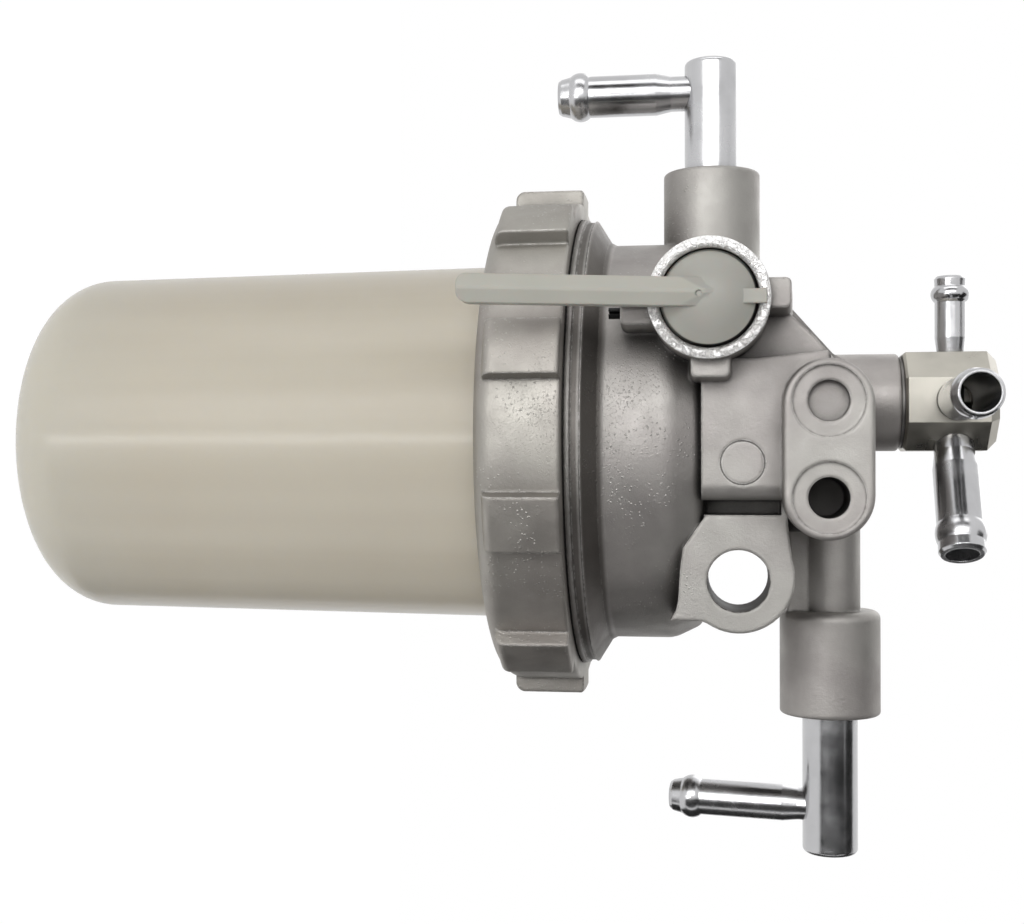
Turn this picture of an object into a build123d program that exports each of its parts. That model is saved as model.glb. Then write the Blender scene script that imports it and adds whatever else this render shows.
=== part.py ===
from build123d import *
import math
import os

# Fuel water separator, upright: bowl below, cast head above, ports to the two sides.
# Frame: origin at the mounting hole on the rear seat of the lug, +Z up, the front faces -Y.
# X and Y of every feature are measured from the bowl axis, Z from the mounting hole.

# Bowl axis, seen from the mounting hole
bowl_axis_x = -25.3
bowl_axis_y = 17.0

# Bowl
bowl_rim_z = -40.4
bowl_rim_r = 41.0
bowl_rim_thickness = 3.0
bowl_neck_r = 35.1
bowl_foot_r = 33.9
bowl_wall = 2.2
bowl_foot_z = -127.3
bowl_dome_height = 15.0
bowl_knuckle_r = 11.6
spring_seat_rib_r = 12.2
spring_seat_rib_wall = 1.4
spring_seat_rib_height = 3.0

# Ring nut
ring_top_z = -29.95
ring_bottom_z = -45.4
ring_lip_thickness = bowl_rim_z - bowl_rim_thickness - ring_bottom_z
ring_lip_clearance = 0.5
ring_edge_round = 4.0
ring_wall = 3.8
lug_count = 10
lug_rise = 2.8
lug_width = 10.1
lug_length = 13.4
lug_end_round = 1.8
lug_top_round = 0.6

# Thread between ring nut and head, both drawn at their root diameters
bowl_rim_clearance = 0.6
thread_male_root_r = bowl_rim_r + 0.9
thread_room = 1.1
thread_female_root_r = thread_male_root_r + thread_room
pilot_step = 0.2
pilot_r = thread_female_root_r + pilot_step
pilot_height = 2.2
pilot_clearance = 0.15
ring_r = pilot_r + ring_wall
lug_tip_r = ring_r + lug_rise

# Bowl gasket
gasket_thickness = 1.8
gasket_edge_clearance = 0.2
gasket_width = 4.2
gasket_outer_r = bowl_rim_r - gasket_edge_clearance
gasket_inner_r = gasket_outer_r - gasket_width
skirt_bottom_z = bowl_rim_z + gasket_thickness

# Head: bell and flange
flange_reach = 0.7
flange_r = pilot_r + flange_reach
flange_bottom_z = -29.6
flange_rim_height = 0.8
flange_groove_depth = 0.6
flange_top_z = -26.8
cone_top_z = -24.4
bell_wall = 3.4
bell_draw_in = 2.9
gasket_land = 1.3
chamber_r = gasket_inner_r - gasket_land
bell_r = chamber_r + bell_wall
bell_top_r = bell_r - bell_draw_in
bell_shoulder_z = -12.0
bell_top_z = -6.2
chamber_top_z = -17.4
chamber_corner = 5.0
spigot_r = 8.0
spigot_bore_r = 4.0
spigot_bottom_z = -40.0

# Head: cock housing
cock_x = -23.0
cock_z = -4.95
collar_face = 46.0
collar_r = 10.35
collar_bore_r = 8.35
collar_bevel = 0.6
barrel_seat_depth = 30.0
rotor_bore_r = 6.5
rotor_bore_end = -7.0
ear_face = 43.6
ear_root = 26.0
ear_corner_r = 1.0
ear_draft = 3.0
top_ear_reach = 13.7
top_ear_width = 5.1
side_ear_reach = 13.2
side_ear_width = 6.5
pin_ear_reach = 15.0
pin_ear_width = 7.2
pin_ear_offset = 0.6
pin_ear_root = 34.0

# Head: ports
port_passage_r = 3.4
top_boss_r = 9.4
top_boss_root_x = -30.0
top_boss_end_x = -52.9
top_port_z = -4.92
stem_seat = 10.0
low_port_z = 17.86
low_neck_r = 5.85
low_boss_r = 9.65
low_boss_start_x = 33.0
low_boss_shoulder = 1.6
boss_end_round = 0.7
low_boss_end_x = 53.2
joint_x = -7.4
joint_boss_r = 9.45
joint_boss_end_z = 30.8
cross_passage_start_x = -12.0

# Head: flow block, pad and lug
block_face = 37.0
block_x0, block_x1 = -13.4, 11.1
block_z0, block_z1 = -6.4, 15.4
block_top = 8.4
block_ledge_rise = 1.3
block_edge_round = 2.8
flow_rear = -11.5
flow_rear_slope = 3.0
flow_rear_draft = 35.0
flow_corner_r = 1.6
web_face = 34.0
web_draft = 6.0
pad_face = 42.0
pad_root = 14.0
pad_x0, pad_x1 = -13.0, 17.75
pad_z = 15.0
pad_half_width = 7.6
pad_upper_x, pad_lower_x = -5.8, 10.55
pad_spot_r = 6.1
pad_spot_depth = 0.35
pad_bore_r = 3.5
pad_bore_depth = 14.0
pad_dimple_depth = 1.8
pad_edge_round = 0.8
ejector_x, ejector_z = 4.6, 0.7
ejector_r = 3.9
lug_x = -bowl_axis_x
lug_centre_x = lug_x - 0.6
seat_depth = bowl_axis_y
lug_face = 33.0
lug_r = 9.75
lug_hole_r = 5.45
lug_groove_width = 2.6
lug_groove_depth = 6.0
lug_groove_top_z = 7.4
seat_pad_height = 0.5
seat_pad_inset = 0.5
seat_pad_bottom_z = bell_top_z + 0.3
web_depth = 4.0
web_z = 9.9

# Cock lever, rotor and seals
lever_radial_clearance = 0.12
lever_barrel_r = collar_bore_r - lever_radial_clearance
lever_dome_edge_r = 7.9
lever_dome_rise = 3.6
lever_dome_edge = 45.3
lever_barrel_end = 33.2
lever_arm_length = 40.4
lever_arm_width = 4.8
lever_arm_offset = -0.7
lever_arm_under = 47.3
lever_arm_side = 50.3
lever_arm_ridge = 51.1
lever_arm_rise = 9.0
lever_arm_shoulder = 9.0
lever_seal_depth = 36.4
lever_dimple_r = 0.55
lever_dimple_depth = 49.1
lever_dimple_offset = -1.6
pointer_length = 9.55
pointer_width = 2.4
pointer_under = collar_face + 0.25
pointer_top = 47.2
pin_groove_r = 7.0
pin_depth = 40.0
pin_groove_width = 2.5
pin_r = 1.0
pin_x = -21.2
pin_clearance = 0.02
pin_outer_reach = 17.2
rotor_clearance = 0.06
rotor_r = rotor_bore_r - rotor_clearance
rotor_rear = -6.5
rotor_front = 31.6
rotor_port_r = 3.0
dog_width = 3.0
dog_height = 2.6
dog_clearance = 0.06
rotor_inner_seal_depth = 12.0
rotor_outer_seal_depth = 24.0
seal_section_r = 0.95
seal_groove_play = 0.5
seal_touch = 0.02

# Stems and nipples
stem_r = 5.3
stem_clearance = 0.05
stem_bore_r = 3.0
stem_end_round = 1.0
inlet_stem_end_x = -75.3
outlet_stem_end_x = 80.3
inlet_nipple_x = -69.2
outlet_nipple_x = 71.3
outlet_nipple_turn = 10.0
nipple_socket = 2.6
nipple_clearance = 0.03

# Hose nipples: outside, bead, mouth, bore and root radii, and length of the straight root
nipple_taper = 3.0
nipple_bead_setback = 4.0
inlet_nipple_r, inlet_nipple_bead_r, inlet_nipple_mouth_r = 4.05, 4.8, 3.6
inlet_nipple_bore_r, inlet_nipple_root_r, inlet_nipple_root = 2.8, 3.4, 5.2
inlet_nipple_end_z = -35.3
outlet_nipple_r, outlet_nipple_bead_r, outlet_nipple_mouth_r = 3.5, 4.2, 3.1
outlet_nipple_bore_r, outlet_nipple_root_r, outlet_nipple_root = 2.4, 3.1, 3.4
outlet_nipple_length = 28.8

# Three-way joint
washer_thickness = 0.6
washer_clearance = 0.2
joint_block_size = 18.9
joint_block_chamfer = 5.2
joint_block_top_z = 48.7
joint_block_top_chamfer = 1.8
joint_spigot_r = 5.4
joint_spigot_length = 8.0
joint_nipple_z = 40.8
joint_lower_tilt = 26.5
joint_front_r, joint_front_bead_r, joint_front_mouth_r = 4.0, 4.5, 4.2
joint_front_bore_r, joint_front_root_r = 3.4, 3.75
joint_front_start, joint_front_reach = 5.4, 34.4
joint_small_r, joint_small_bead_r, joint_small_mouth_r = 2.9, 3.65, 3.0
joint_small_bore_r, joint_small_root_r = 1.8, 2.5
joint_small_start, joint_small_reach = 6.4, 24.3
joint_lower_r, joint_lower_bead_r, joint_lower_mouth_r = 4.25, 4.65, 4.3
joint_lower_bore_r, joint_lower_root_r = 3.1, 3.8
joint_lower_start, joint_lower_reach = 6.6, 32.2

# Element and its spring
element_r = 26.0
element_top_z = -34.0
element_bottom_z = -116.0
cap_thickness = 1.2
cap_lip = 4.0
core_r = 12.0
core_wall = 1.0
core_slot_rows = 4
core_slot_columns = 6
core_slot_width = 3.0
core_slot_length = 12.0
pleat_count = 48
pleat_inner_r = 13.4
pleat_root_r = 14.6
grommet_r = 11.0
grommet_overhang = 2.5
grommet_clearance = 0.05
spring_r = 9.4
spring_wire_r = 0.7
spring_turns = 4
spring_seat_gap = 0.95
spring_guide_clearance = 0.3
spring_guide_depth = 2.0


def level(z):
    """Horizontal plane at height z, centred on the bowl axis."""
    return Plane(origin=(bowl_axis_x, bowl_axis_y, z))


def front(depth):
    """Plane that faces the front, depth in front of the bowl axis; local axes are X and Z."""
    return Plane(origin=(bowl_axis_x, bowl_axis_y - depth, 0), x_dir=(1, 0, 0), z_dir=(0, -1, 0))


def side(x):
    """Plane that faces +X, x from the bowl axis; local axes are Y and Z."""
    return Plane(origin=(bowl_axis_x + x, bowl_axis_y, 0), x_dir=(0, 1, 0), z_dir=(1, 0, 0))


def along(point, direction, across):
    """Plane for a profile turned about a line: local x is the radius, local y runs along it."""
    radial = Vector(*across)
    return Plane(origin=point, x_dir=radial, z_dir=radial.cross(Vector(*direction)))


def at(x, depth, z):
    """Point given from the bowl axis."""
    return (bowl_axis_x + x, bowl_axis_y - depth, z)


bowl_axis = Axis(at(0, 0, 0), (0, 0, 1))
cock_axis = Axis(at(cock_x, 0, cock_z), (0, -1, 0))
turned = front(0)
cock_turned = along(at(cock_x, 0, cock_z), (0, -1, 0), (1, 0, 0))


def outline(points):
    """Closed straight-sided face in the sketch that is open."""
    Polygon(*points, align=None)


def dome(r, height, knuckle, z):
    """Knuckle and crown arcs of a bowl end: joint between them, a point on each, from radius r at z."""
    crown = (height ** 2 - knuckle ** 2 + (r - knuckle) ** 2) / (2 * (height - knuckle))
    crown_z = z - height + crown
    lean = math.atan2(r - knuckle, crown_z - z)
    joint = (crown * math.sin(lean), crown_z - crown * math.cos(lean))
    turn = (math.pi / 2 - lean) / 2
    on_knuckle = (r - knuckle + knuckle * math.cos(turn), z - knuckle * math.sin(turn))
    on_crown = (crown * math.sin(lean / 2), crown_z - crown * math.cos(lean / 2))
    return joint, on_knuckle, on_crown


def nipple_outline(r, bead_r, mouth_r, bore_r, root_r, root, length, setback):
    """Half section of a beaded hose nipple, root at local y = 0, bead crest set back from the mouth."""
    bead = length - setback
    bead_start, bead_end = bead - 0.55 * setback, bead + 0.4 * setback
    with BuildLine(Plane.XY) as half_section:
        Polyline((bore_r, 0), (root_r, 0), (root_r, root), (r, root + nipple_taper), (r, bead_start))
        ThreePointArc((r, bead_start), (bead_r, bead), (r, bead_end))
        Polyline((r, bead_end), (mouth_r, length - 0.15 * setback), (mouth_r - 0.4, length), (bore_r, length),
                 (bore_r, 0))
    make_face(half_section.edges())


# Head casting
with BuildPart() as head_casting:
    # Skirt, pilot, flange and bell are turned about the bowl axis
    with BuildSketch(turned) as bell_section:
        outline([
            (0, skirt_bottom_z), (thread_male_root_r, skirt_bottom_z),
            (thread_male_root_r, ring_top_z - pilot_height), (pilot_r, ring_top_z - pilot_height),
            (pilot_r, flange_bottom_z), (flange_r, flange_bottom_z),
            (flange_r, flange_bottom_z + flange_rim_height),
            (flange_r - flange_groove_depth, flange_bottom_z + flange_rim_height + 0.2),
            (flange_r - flange_groove_depth, flange_top_z - 0.4), (flange_r - 0.35, flange_top_z - 0.2),
            (flange_r - 1.2, flange_top_z + 0.3), (bell_r + 0.6, cone_top_z), (bell_r, cone_top_z + 1.2),
            (bell_r, bell_shoulder_z), (bell_top_r, bell_top_z), (0, bell_top_z),
        ])
        fillet(bell_section.vertices().sort_by_distance((bell_top_r, bell_top_z))[0], 3.0)
        fillet(bell_section.vertices().sort_by_distance((bell_r, bell_shoulder_z))[0], 6.0)
    revolve(axis=bowl_axis)
    # Inlet port boss
    with BuildSketch(side(top_boss_root_x)):
        with Locations((0, top_port_z)):
            Circle(top_boss_r)
    extrude(amount=top_boss_end_x - top_boss_root_x)
    # Flow body between the cock housing, the joint boss and the outlet neck, its rear edges sloped
    with BuildSketch(front(flow_rear + flow_rear_slope)) as flow_section:
        outline([
            (-30.5, -12), (-30.5, 2.5), (-24.0, 9.6), (-15.4, 17.2), (-13.6, 20.6),
            (pad_x1 - 2.2, 20.6), (pad_x1 - 0.7, 16), (pad_x1 - 0.7, block_top), (block_x1, block_top),
            (block_x1, -12),
        ])
        corners = flow_section.vertices().filter_by(lambda v: v.Y > 0 and v.Y != block_top)
        fillet(corners, flow_corner_r)
    extrude(amount=20 - flow_rear - flow_rear_slope)
    extrude(flow_section.sketch, amount=-flow_rear_slope, taper=flow_rear_draft)
    # Web in front of the flow body, from the cock housing to the joint boss
    with BuildSketch(front(19.9)):
        outline([
            (-24.6, -8), (-24.6, 6.8), (-22.4, 9.9), (-18.6, 13.9), (block_x0 - block_ledge_rise, 17.3),
            (block_x1, 18.0), (block_x1, -8),
        ])
    extrude(amount=web_face - 19.9, taper=web_draft)
    # Cock housing
    with BuildSketch(front(collar_face)):
        with Locations((cock_x, cock_z)):
            Circle(collar_r)
    extrude(amount=flow_rear - collar_face)
    # Ears beside the collar: at +Z and +X for the two lever positions, at -Z for the pin
    with BuildSketch(front(ear_face)):
        with Locations((cock_x - 0.9, cock_z + top_ear_reach / 2)):
            RectangleRounded(top_ear_width, top_ear_reach, ear_corner_r)
    extrude(amount=ear_root - ear_face, taper=-ear_draft)
    with BuildSketch(front(ear_face)):
        with Locations((cock_x + side_ear_reach / 2, cock_z + 0.2)):
            RectangleRounded(side_ear_reach, side_ear_width, ear_corner_r)
    extrude(amount=ear_root - ear_face, taper=-ear_draft)
    with BuildSketch(front(ear_face)):
        with Locations((cock_x + pin_ear_offset, cock_z - pin_ear_reach / 2)):
            RectangleRounded(pin_ear_width, pin_ear_reach, ear_corner_r)
    extrude(amount=pin_ear_root - ear_face, taper=-ear_draft)
    # Flow block, its upper edge a ledge on the web
    with BuildSketch(front(block_face)):
        outline([
            (block_x0, block_z0), (block_x0, 3.0), (block_x0 - block_ledge_rise, block_z1),
            (block_x1, block_z1), (block_x1, block_z0),
        ])
    extrude(amount=-(block_face + 10))
    fillet(head_casting.edges().filter_by(Axis.Z).sort_by_distance(at(block_x1, block_face, 1))[0],
           block_edge_round)
    # Pad
    with BuildSketch(front(pad_face)):
        with Locations(((pad_x0 + pad_x1) / 2, pad_z)):
            SlotOverall(pad_x1 - pad_x0, 2 * pad_half_width)
    extrude(amount=pad_root - pad_face)
    pad_front = head_casting.faces().sort_by_distance(at((pad_x0 + pad_x1) / 2, pad_face, pad_z))[0]
    fillet(pad_front.edges(), pad_edge_round)
    # Mounting lug
    with BuildSketch(front(lug_face)) as lug_section:
        outline([
            (6, -6.2), (13.9, -5.8), (19.6, -9.7), (23.4, -10.2), (28.6, -10.5), (30.6, -10.9),
            (32.3, -11.9), (32.4, -6.4), (33.6, -3.5), (lug_centre_x, 0), (lug_centre_x, 9.6), (16, 8.6),
            (6, 8.0),
        ])
        with Locations((lug_centre_x, 0)):
            Circle(lug_r)
    extrude(amount=seat_depth + seat_pad_height - lug_face)
    # Seat behind the lug, raised and cut off straight so that the bell's shoulder stays below it
    with BuildSketch(front(seat_depth + seat_pad_height)):
        with Locations((lug_centre_x, 0)):
            Circle(lug_r - seat_pad_inset)
        with Locations((lug_centre_x, seat_pad_bottom_z + lug_r)):
            Rectangle(2 * lug_r, 2 * lug_r, mode=Mode.INTERSECT)
    extrude(amount=-seat_pad_height)
    # Groove between the lug and the block
    with BuildSketch(front(lug_face)):
        with Locations((block_x1 + lug_groove_width / 2, (bell_top_z + lug_groove_top_z) / 2)):
            Rectangle(lug_groove_width, lug_groove_top_z - bell_top_z)
    extrude(amount=-lug_groove_depth, mode=Mode.SUBTRACT)
    # Outlet neck with its web, set back from the lug's seat, and the outlet port boss
    with BuildSketch(side(10)):
        with Locations((0, low_port_z)):
            Circle(low_neck_r)
    extrude(amount=low_boss_start_x + 1 - 10)
    with BuildSketch(front(web_depth)):
        outline([
            (14, web_z), (low_boss_start_x - 2.5, web_z), (low_boss_start_x + 0.5, web_z - 0.6),
            (low_boss_start_x + 0.5, low_port_z), (14, low_port_z),
        ])
    extrude(amount=-2 * web_depth)
    with BuildSketch(side(low_boss_start_x)):
        with Locations((0, low_port_z)):
            Circle(low_boss_r)
    extrude(amount=low_boss_end_x - low_boss_start_x)
    shoulder = head_casting.edges().filter_by(GeomType.CIRCLE).filter_by(
        lambda e: abs(e.radius - low_boss_r) < 0.01 and abs(e.arc_center.X - bowl_axis_x - low_boss_start_x) < 0.01)
    fillet(shoulder, low_boss_shoulder)
    # Joint boss
    with BuildSketch(level(12)):
        with Locations((joint_x, 0)):
            Circle(joint_boss_r)
    extrude(amount=joint_boss_end_z - 12)

    # Chamber above the bowl, around the element spigot
    with BuildSketch(turned) as chamber_section:
        outline([
            (spigot_r, skirt_bottom_z), (chamber_r, skirt_bottom_z),
            (chamber_r, chamber_top_z), (spigot_r, chamber_top_z),
        ])
        fillet(chamber_section.vertices().sort_by_distance((chamber_r, chamber_top_z))[0], chamber_corner)
    revolve(axis=bowl_axis, mode=Mode.SUBTRACT)
    with BuildSketch(level(spigot_bottom_z)):
        Circle(spigot_r)
    extrude(amount=skirt_bottom_z - spigot_bottom_z + 0.5)
    # Cock bore with its bevel, stepped for the rotor
    with BuildSketch(cock_turned):
        outline([
            (0, barrel_seat_depth), (collar_bore_r, barrel_seat_depth),
            (collar_bore_r, collar_face - collar_bevel), (collar_bore_r + collar_bevel, collar_face),
            (0, collar_face),
        ])
    revolve(axis=cock_axis, mode=Mode.SUBTRACT)
    with BuildSketch(front(barrel_seat_depth + 1)):
        with Locations((cock_x, cock_z)):
            Circle(rotor_bore_r)
    extrude(amount=-(barrel_seat_depth + 1 - rotor_bore_end), mode=Mode.SUBTRACT)
    # Passages: inlet to cock, cock to chamber, chamber to outlet and joint
    with BuildSketch(side(top_boss_end_x)):
        with Locations((0, top_port_z)):
            Circle(stem_r + stem_clearance)
    extrude(amount=stem_seat, mode=Mode.SUBTRACT)
    with BuildSketch(side(top_boss_end_x)):
        with Locations((0, top_port_z)):
            Circle(port_passage_r)
    extrude(amount=cock_x - top_boss_end_x, mode=Mode.SUBTRACT)
    with BuildSketch(level(chamber_top_z - 1)):
        with Locations((cock_x, 0)):
            Circle(rotor_port_r)
    extrude(amount=cock_z - chamber_top_z + 1, mode=Mode.SUBTRACT)
    with BuildSketch(level(spigot_bottom_z)):
        Circle(spigot_bore_r)
    extrude(amount=low_port_z - spigot_bottom_z, mode=Mode.SUBTRACT)
    with BuildSketch(side(cross_passage_start_x)):
        with Locations((0, low_port_z)):
            Circle(port_passage_r)
    extrude(amount=low_boss_end_x - cross_passage_start_x, mode=Mode.SUBTRACT)
    with BuildSketch(side(low_boss_end_x)):
        with Locations((0, low_port_z)):
            Circle(stem_r + stem_clearance)
    extrude(amount=-stem_seat, mode=Mode.SUBTRACT)
    with BuildSketch(level(joint_boss_end_z)):
        with Locations((joint_x, 0)):
            Circle(joint_spigot_r + stem_clearance)
    extrude(amount=-(joint_spigot_length + 0.5), mode=Mode.SUBTRACT)
    with BuildSketch(level(joint_boss_end_z)):
        with Locations((joint_x, 0)):
            Circle(port_passage_r)
    extrude(amount=low_port_z - joint_boss_end_z, mode=Mode.SUBTRACT)
    # Rounded ends of the three port bosses
    for r, centre in ((top_boss_r, at(top_boss_end_x, 0, top_port_z)), (low_boss_r, at(low_boss_end_x, 0, low_port_z)),
                      (joint_boss_r, at(joint_x, 0, joint_boss_end_z))):
        boss_end = head_casting.edges().filter_by(GeomType.CIRCLE).filter_by(
            lambda e: abs(e.radius - r) < 0.01 and (e.arc_center - Vector(*centre)).length < 0.01)
        fillet(boss_end, boss_end_round)
    # Pad: one boss drilled, the other only spotted; both spotfaced
    with BuildSketch(front(pad_face)):
        with Locations((pad_upper_x, pad_z), (pad_lower_x, pad_z)):
            Circle(pad_spot_r)
    extrude(amount=-pad_spot_depth, mode=Mode.SUBTRACT)
    with BuildSketch(front(pad_face)):
        with Locations((pad_lower_x, pad_z)):
            Circle(pad_bore_r)
    extrude(amount=-pad_bore_depth, mode=Mode.SUBTRACT)
    with BuildSketch(front(pad_face)):
        with Locations((pad_upper_x, pad_z)):
            Circle(pad_bore_r)
    extrude(amount=-(pad_spot_depth + pad_dimple_depth), mode=Mode.SUBTRACT)
    # Ejector-pin witness ring on the block
    with BuildSketch(front(block_face)):
        with Locations((ejector_x, ejector_z)):
            Circle(ejector_r)
            Circle(ejector_r - 0.25, mode=Mode.SUBTRACT)
    extrude(amount=-0.25, mode=Mode.SUBTRACT)
    # Mounting hole
    with BuildSketch(front(lug_face)):
        with Locations((lug_x, 0)):
            Circle(lug_hole_r)
    extrude(amount=seat_depth - lug_face, mode=Mode.SUBTRACT)
    # Hole for the retaining pin, through the ear at -Z into the cock bore
    with BuildSketch(level(cock_z - pin_ear_reach - 1)):
        with Locations((pin_x, -pin_depth)):
            Circle(pin_r + pin_clearance)
    extrude(amount=pin_ear_reach + 1 - collar_bore_r + 1, mode=Mode.SUBTRACT)

# Ring nut
with BuildPart() as ring_nut:
    with BuildSketch(turned) as ring_section:
        outline([
            (bowl_neck_r + ring_lip_clearance, ring_bottom_z), (ring_r, ring_bottom_z), (ring_r, ring_top_z),
            (pilot_r + pilot_clearance, ring_top_z), (pilot_r + pilot_clearance, ring_top_z - pilot_height),
            (thread_female_root_r, ring_top_z - pilot_height), (thread_female_root_r, skirt_bottom_z - 1),
            (bowl_rim_r + bowl_rim_clearance, skirt_bottom_z - 1),
            (bowl_rim_r + bowl_rim_clearance, ring_bottom_z + ring_lip_thickness),
            (bowl_neck_r + ring_lip_clearance, ring_bottom_z + ring_lip_thickness),
        ])
        fillet(ring_section.vertices().sort_by_distance((ring_r, ring_bottom_z))[0], ring_edge_round)
        fillet(ring_section.vertices().sort_by_distance((ring_r, ring_top_z))[0], 0.5)
    revolve(axis=bowl_axis)
    with BuildSketch(level(ring_top_z)) as lug_sketch:
        with PolarLocations(0, lug_count, start_angle=0):
            with Locations((lug_tip_r - 4, 0)):
                Rectangle(12, lug_width)
        Circle(lug_tip_r, mode=Mode.INTERSECT)
        Circle(ring_r - 1.5, mode=Mode.SUBTRACT)
    extrude(amount=-lug_length)
    for z, r in ((ring_top_z - lug_length, lug_end_round), (ring_top_z, lug_top_round)):
        lug_ends = ring_nut.edges().filter_by(GeomType.CIRCLE).filter_by(
            lambda e: abs(e.radius - lug_tip_r) < 0.01 and abs(e.arc_center.Z - z) < 0.01)
        fillet(lug_ends, r)

# Bowl
with BuildPart() as bowl:
    with BuildSketch(turned) as bowl_section:
        inner_neck = bowl_neck_r - bowl_wall
        inner_foot = bowl_foot_r - bowl_wall
        rim_under = bowl_rim_z - bowl_rim_thickness
        with BuildLine():
            Polyline(
                (inner_neck, bowl_rim_z), (bowl_rim_r, bowl_rim_z), (bowl_rim_r, rim_under),
                (bowl_neck_r, rim_under), (bowl_foot_r, bowl_foot_z))
            joint, on_knuckle, on_crown = dome(bowl_foot_r, bowl_dome_height, bowl_knuckle_r, bowl_foot_z)
            ThreePointArc((bowl_foot_r, bowl_foot_z), on_knuckle, joint)
            ThreePointArc(joint, on_crown, (0, bowl_foot_z - bowl_dome_height))
            Line((0, bowl_foot_z - bowl_dome_height), (0, bowl_foot_z - bowl_dome_height + bowl_wall))
            joint, on_knuckle, on_crown = dome(
                inner_foot, bowl_dome_height - bowl_wall, bowl_knuckle_r - bowl_wall, bowl_foot_z)
            ThreePointArc((0, bowl_foot_z - bowl_dome_height + bowl_wall), on_crown, joint)
            ThreePointArc(joint, on_knuckle, (inner_foot, bowl_foot_z))
            Line((inner_foot, bowl_foot_z), (inner_neck, bowl_rim_z))
        make_face()
    revolve(axis=bowl_axis)
    rib_foot = bowl_foot_z - bowl_dome_height + bowl_wall - 0.6
    with BuildSketch(turned):
        with Locations((spring_seat_rib_r - spring_seat_rib_wall / 2, rib_foot + spring_seat_rib_height / 2)):
            Rectangle(spring_seat_rib_wall, spring_seat_rib_height)
    revolve(axis=bowl_axis)

# Bowl gasket
with BuildPart() as bowl_gasket:
    with BuildSketch(level(bowl_rim_z)):
        Circle(gasket_outer_r)
        Circle(gasket_inner_r, mode=Mode.SUBTRACT)
    extrude(amount=gasket_thickness)

# Element: two caps, pleated media, slotted core, grommet on the spigot
with BuildPart() as element_top_cap:
    with BuildSketch(turned):
        outline([
            (grommet_r + grommet_clearance, element_top_z - cap_lip), (grommet_r + grommet_clearance, element_top_z),
            (element_r + 1, element_top_z), (element_r + 1, element_top_z - cap_lip),
            (element_r + 0.2, element_top_z - cap_lip), (element_r + 0.2, element_top_z - cap_thickness),
            (grommet_r + 1, element_top_z - cap_thickness), (grommet_r + 1, element_top_z - cap_lip),
        ])
    revolve(axis=bowl_axis)

with BuildPart() as element_bottom_cap:
    with BuildSketch(turned):
        outline([
            (0, element_bottom_z), (element_r + 1, element_bottom_z), (element_r + 1, element_bottom_z + cap_lip),
            (element_r + 0.2, element_bottom_z + cap_lip), (element_r + 0.2, element_bottom_z + cap_thickness),
            (0, element_bottom_z + cap_thickness),
        ])
    revolve(axis=bowl_axis)
    with BuildSketch(level(element_bottom_z)):
        Circle(spring_r - spring_wire_r - spring_guide_clearance)
        Circle(spring_r - spring_wire_r - spring_guide_clearance - cap_thickness, mode=Mode.SUBTRACT)
    extrude(amount=-spring_guide_depth)

media_bottom = element_bottom_z + cap_thickness
media_top = element_top_z - cap_thickness
with BuildPart() as element_media:
    with BuildSketch(level(media_bottom)):
        folds = []
        for i in range(pleat_count):
            tip = 2 * math.pi * i / pleat_count
            root = 2 * math.pi * (i + 0.5) / pleat_count
            folds.append((element_r * math.cos(tip), element_r * math.sin(tip)))
            folds.append((pleat_root_r * math.cos(root), pleat_root_r * math.sin(root)))
        outline(folds)
        Circle(pleat_inner_r, mode=Mode.SUBTRACT)
    extrude(amount=media_top - media_bottom)

with BuildPart() as element_core:
    core_height = media_top - cap_lip - media_bottom
    core_slot_pitch = core_height / core_slot_rows
    with BuildSketch(level(media_bottom)):
        Circle(core_r)
        Circle(core_r - core_wall, mode=Mode.SUBTRACT)
    extrude(amount=core_height)
    for row in range(core_slot_rows):
        with BuildSketch(level(media_bottom + core_slot_pitch * (row + 0.5) - core_slot_length / 2)):
            with PolarLocations(0, core_slot_columns):
                with Locations((core_r, 0)):
                    Rectangle(6 * core_wall, core_slot_width)
        extrude(amount=core_slot_length, mode=Mode.SUBTRACT)

with BuildPart() as element_grommet:
    with BuildSketch(level(element_top_z)):
        Circle(grommet_r)
        Circle(spigot_r + grommet_clearance, mode=Mode.SUBTRACT)
    extrude(amount=-(cap_lip + grommet_overhang))

# Spring under the element
with BuildPart() as element_spring:
    spring_top = element_bottom_z - spring_wire_r
    spring_foot = bowl_foot_z - bowl_dome_height + bowl_wall + spring_seat_gap + spring_wire_r
    spring_pitch = (spring_top - spring_foot) / spring_turns
    with BuildLine() as coil:
        Helix(pitch=spring_pitch, height=spring_top - spring_foot, radius=spring_r, center=at(0, 0, spring_foot))
    with BuildSketch(Plane(origin=coil.line @ 0, z_dir=coil.line % 0)):
        Circle(spring_wire_r)
    sweep()

# Cock rotor
with BuildPart() as cock_rotor:
    with BuildSketch(cock_turned):
        outline([
            (0, rotor_rear), (rotor_r, rotor_rear), (rotor_r, rotor_front), (0, rotor_front),
        ])
    revolve(axis=cock_axis)
    with BuildSketch(front(rotor_front)):
        with Locations((cock_x, cock_z)):
            Rectangle(dog_width, 2 * rotor_r - 2)
    extrude(amount=dog_height)
    with BuildSketch(side(cock_x)):
        with Locations((0, cock_z)):
            Circle(rotor_port_r)
    extrude(amount=-10, mode=Mode.SUBTRACT)
    with BuildSketch(level(cock_z)):
        with Locations((cock_x, 0)):
            Circle(rotor_port_r)
    extrude(amount=-10, mode=Mode.SUBTRACT)
    for groove in (rotor_inner_seal_depth, rotor_outer_seal_depth):
        with BuildSketch(cock_turned):
            with Locations((rotor_r - seal_section_r, groove)):
                Rectangle(2 * seal_section_r + 0.05, 2 * seal_section_r + seal_groove_play)
        revolve(axis=cock_axis, mode=Mode.SUBTRACT)

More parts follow.
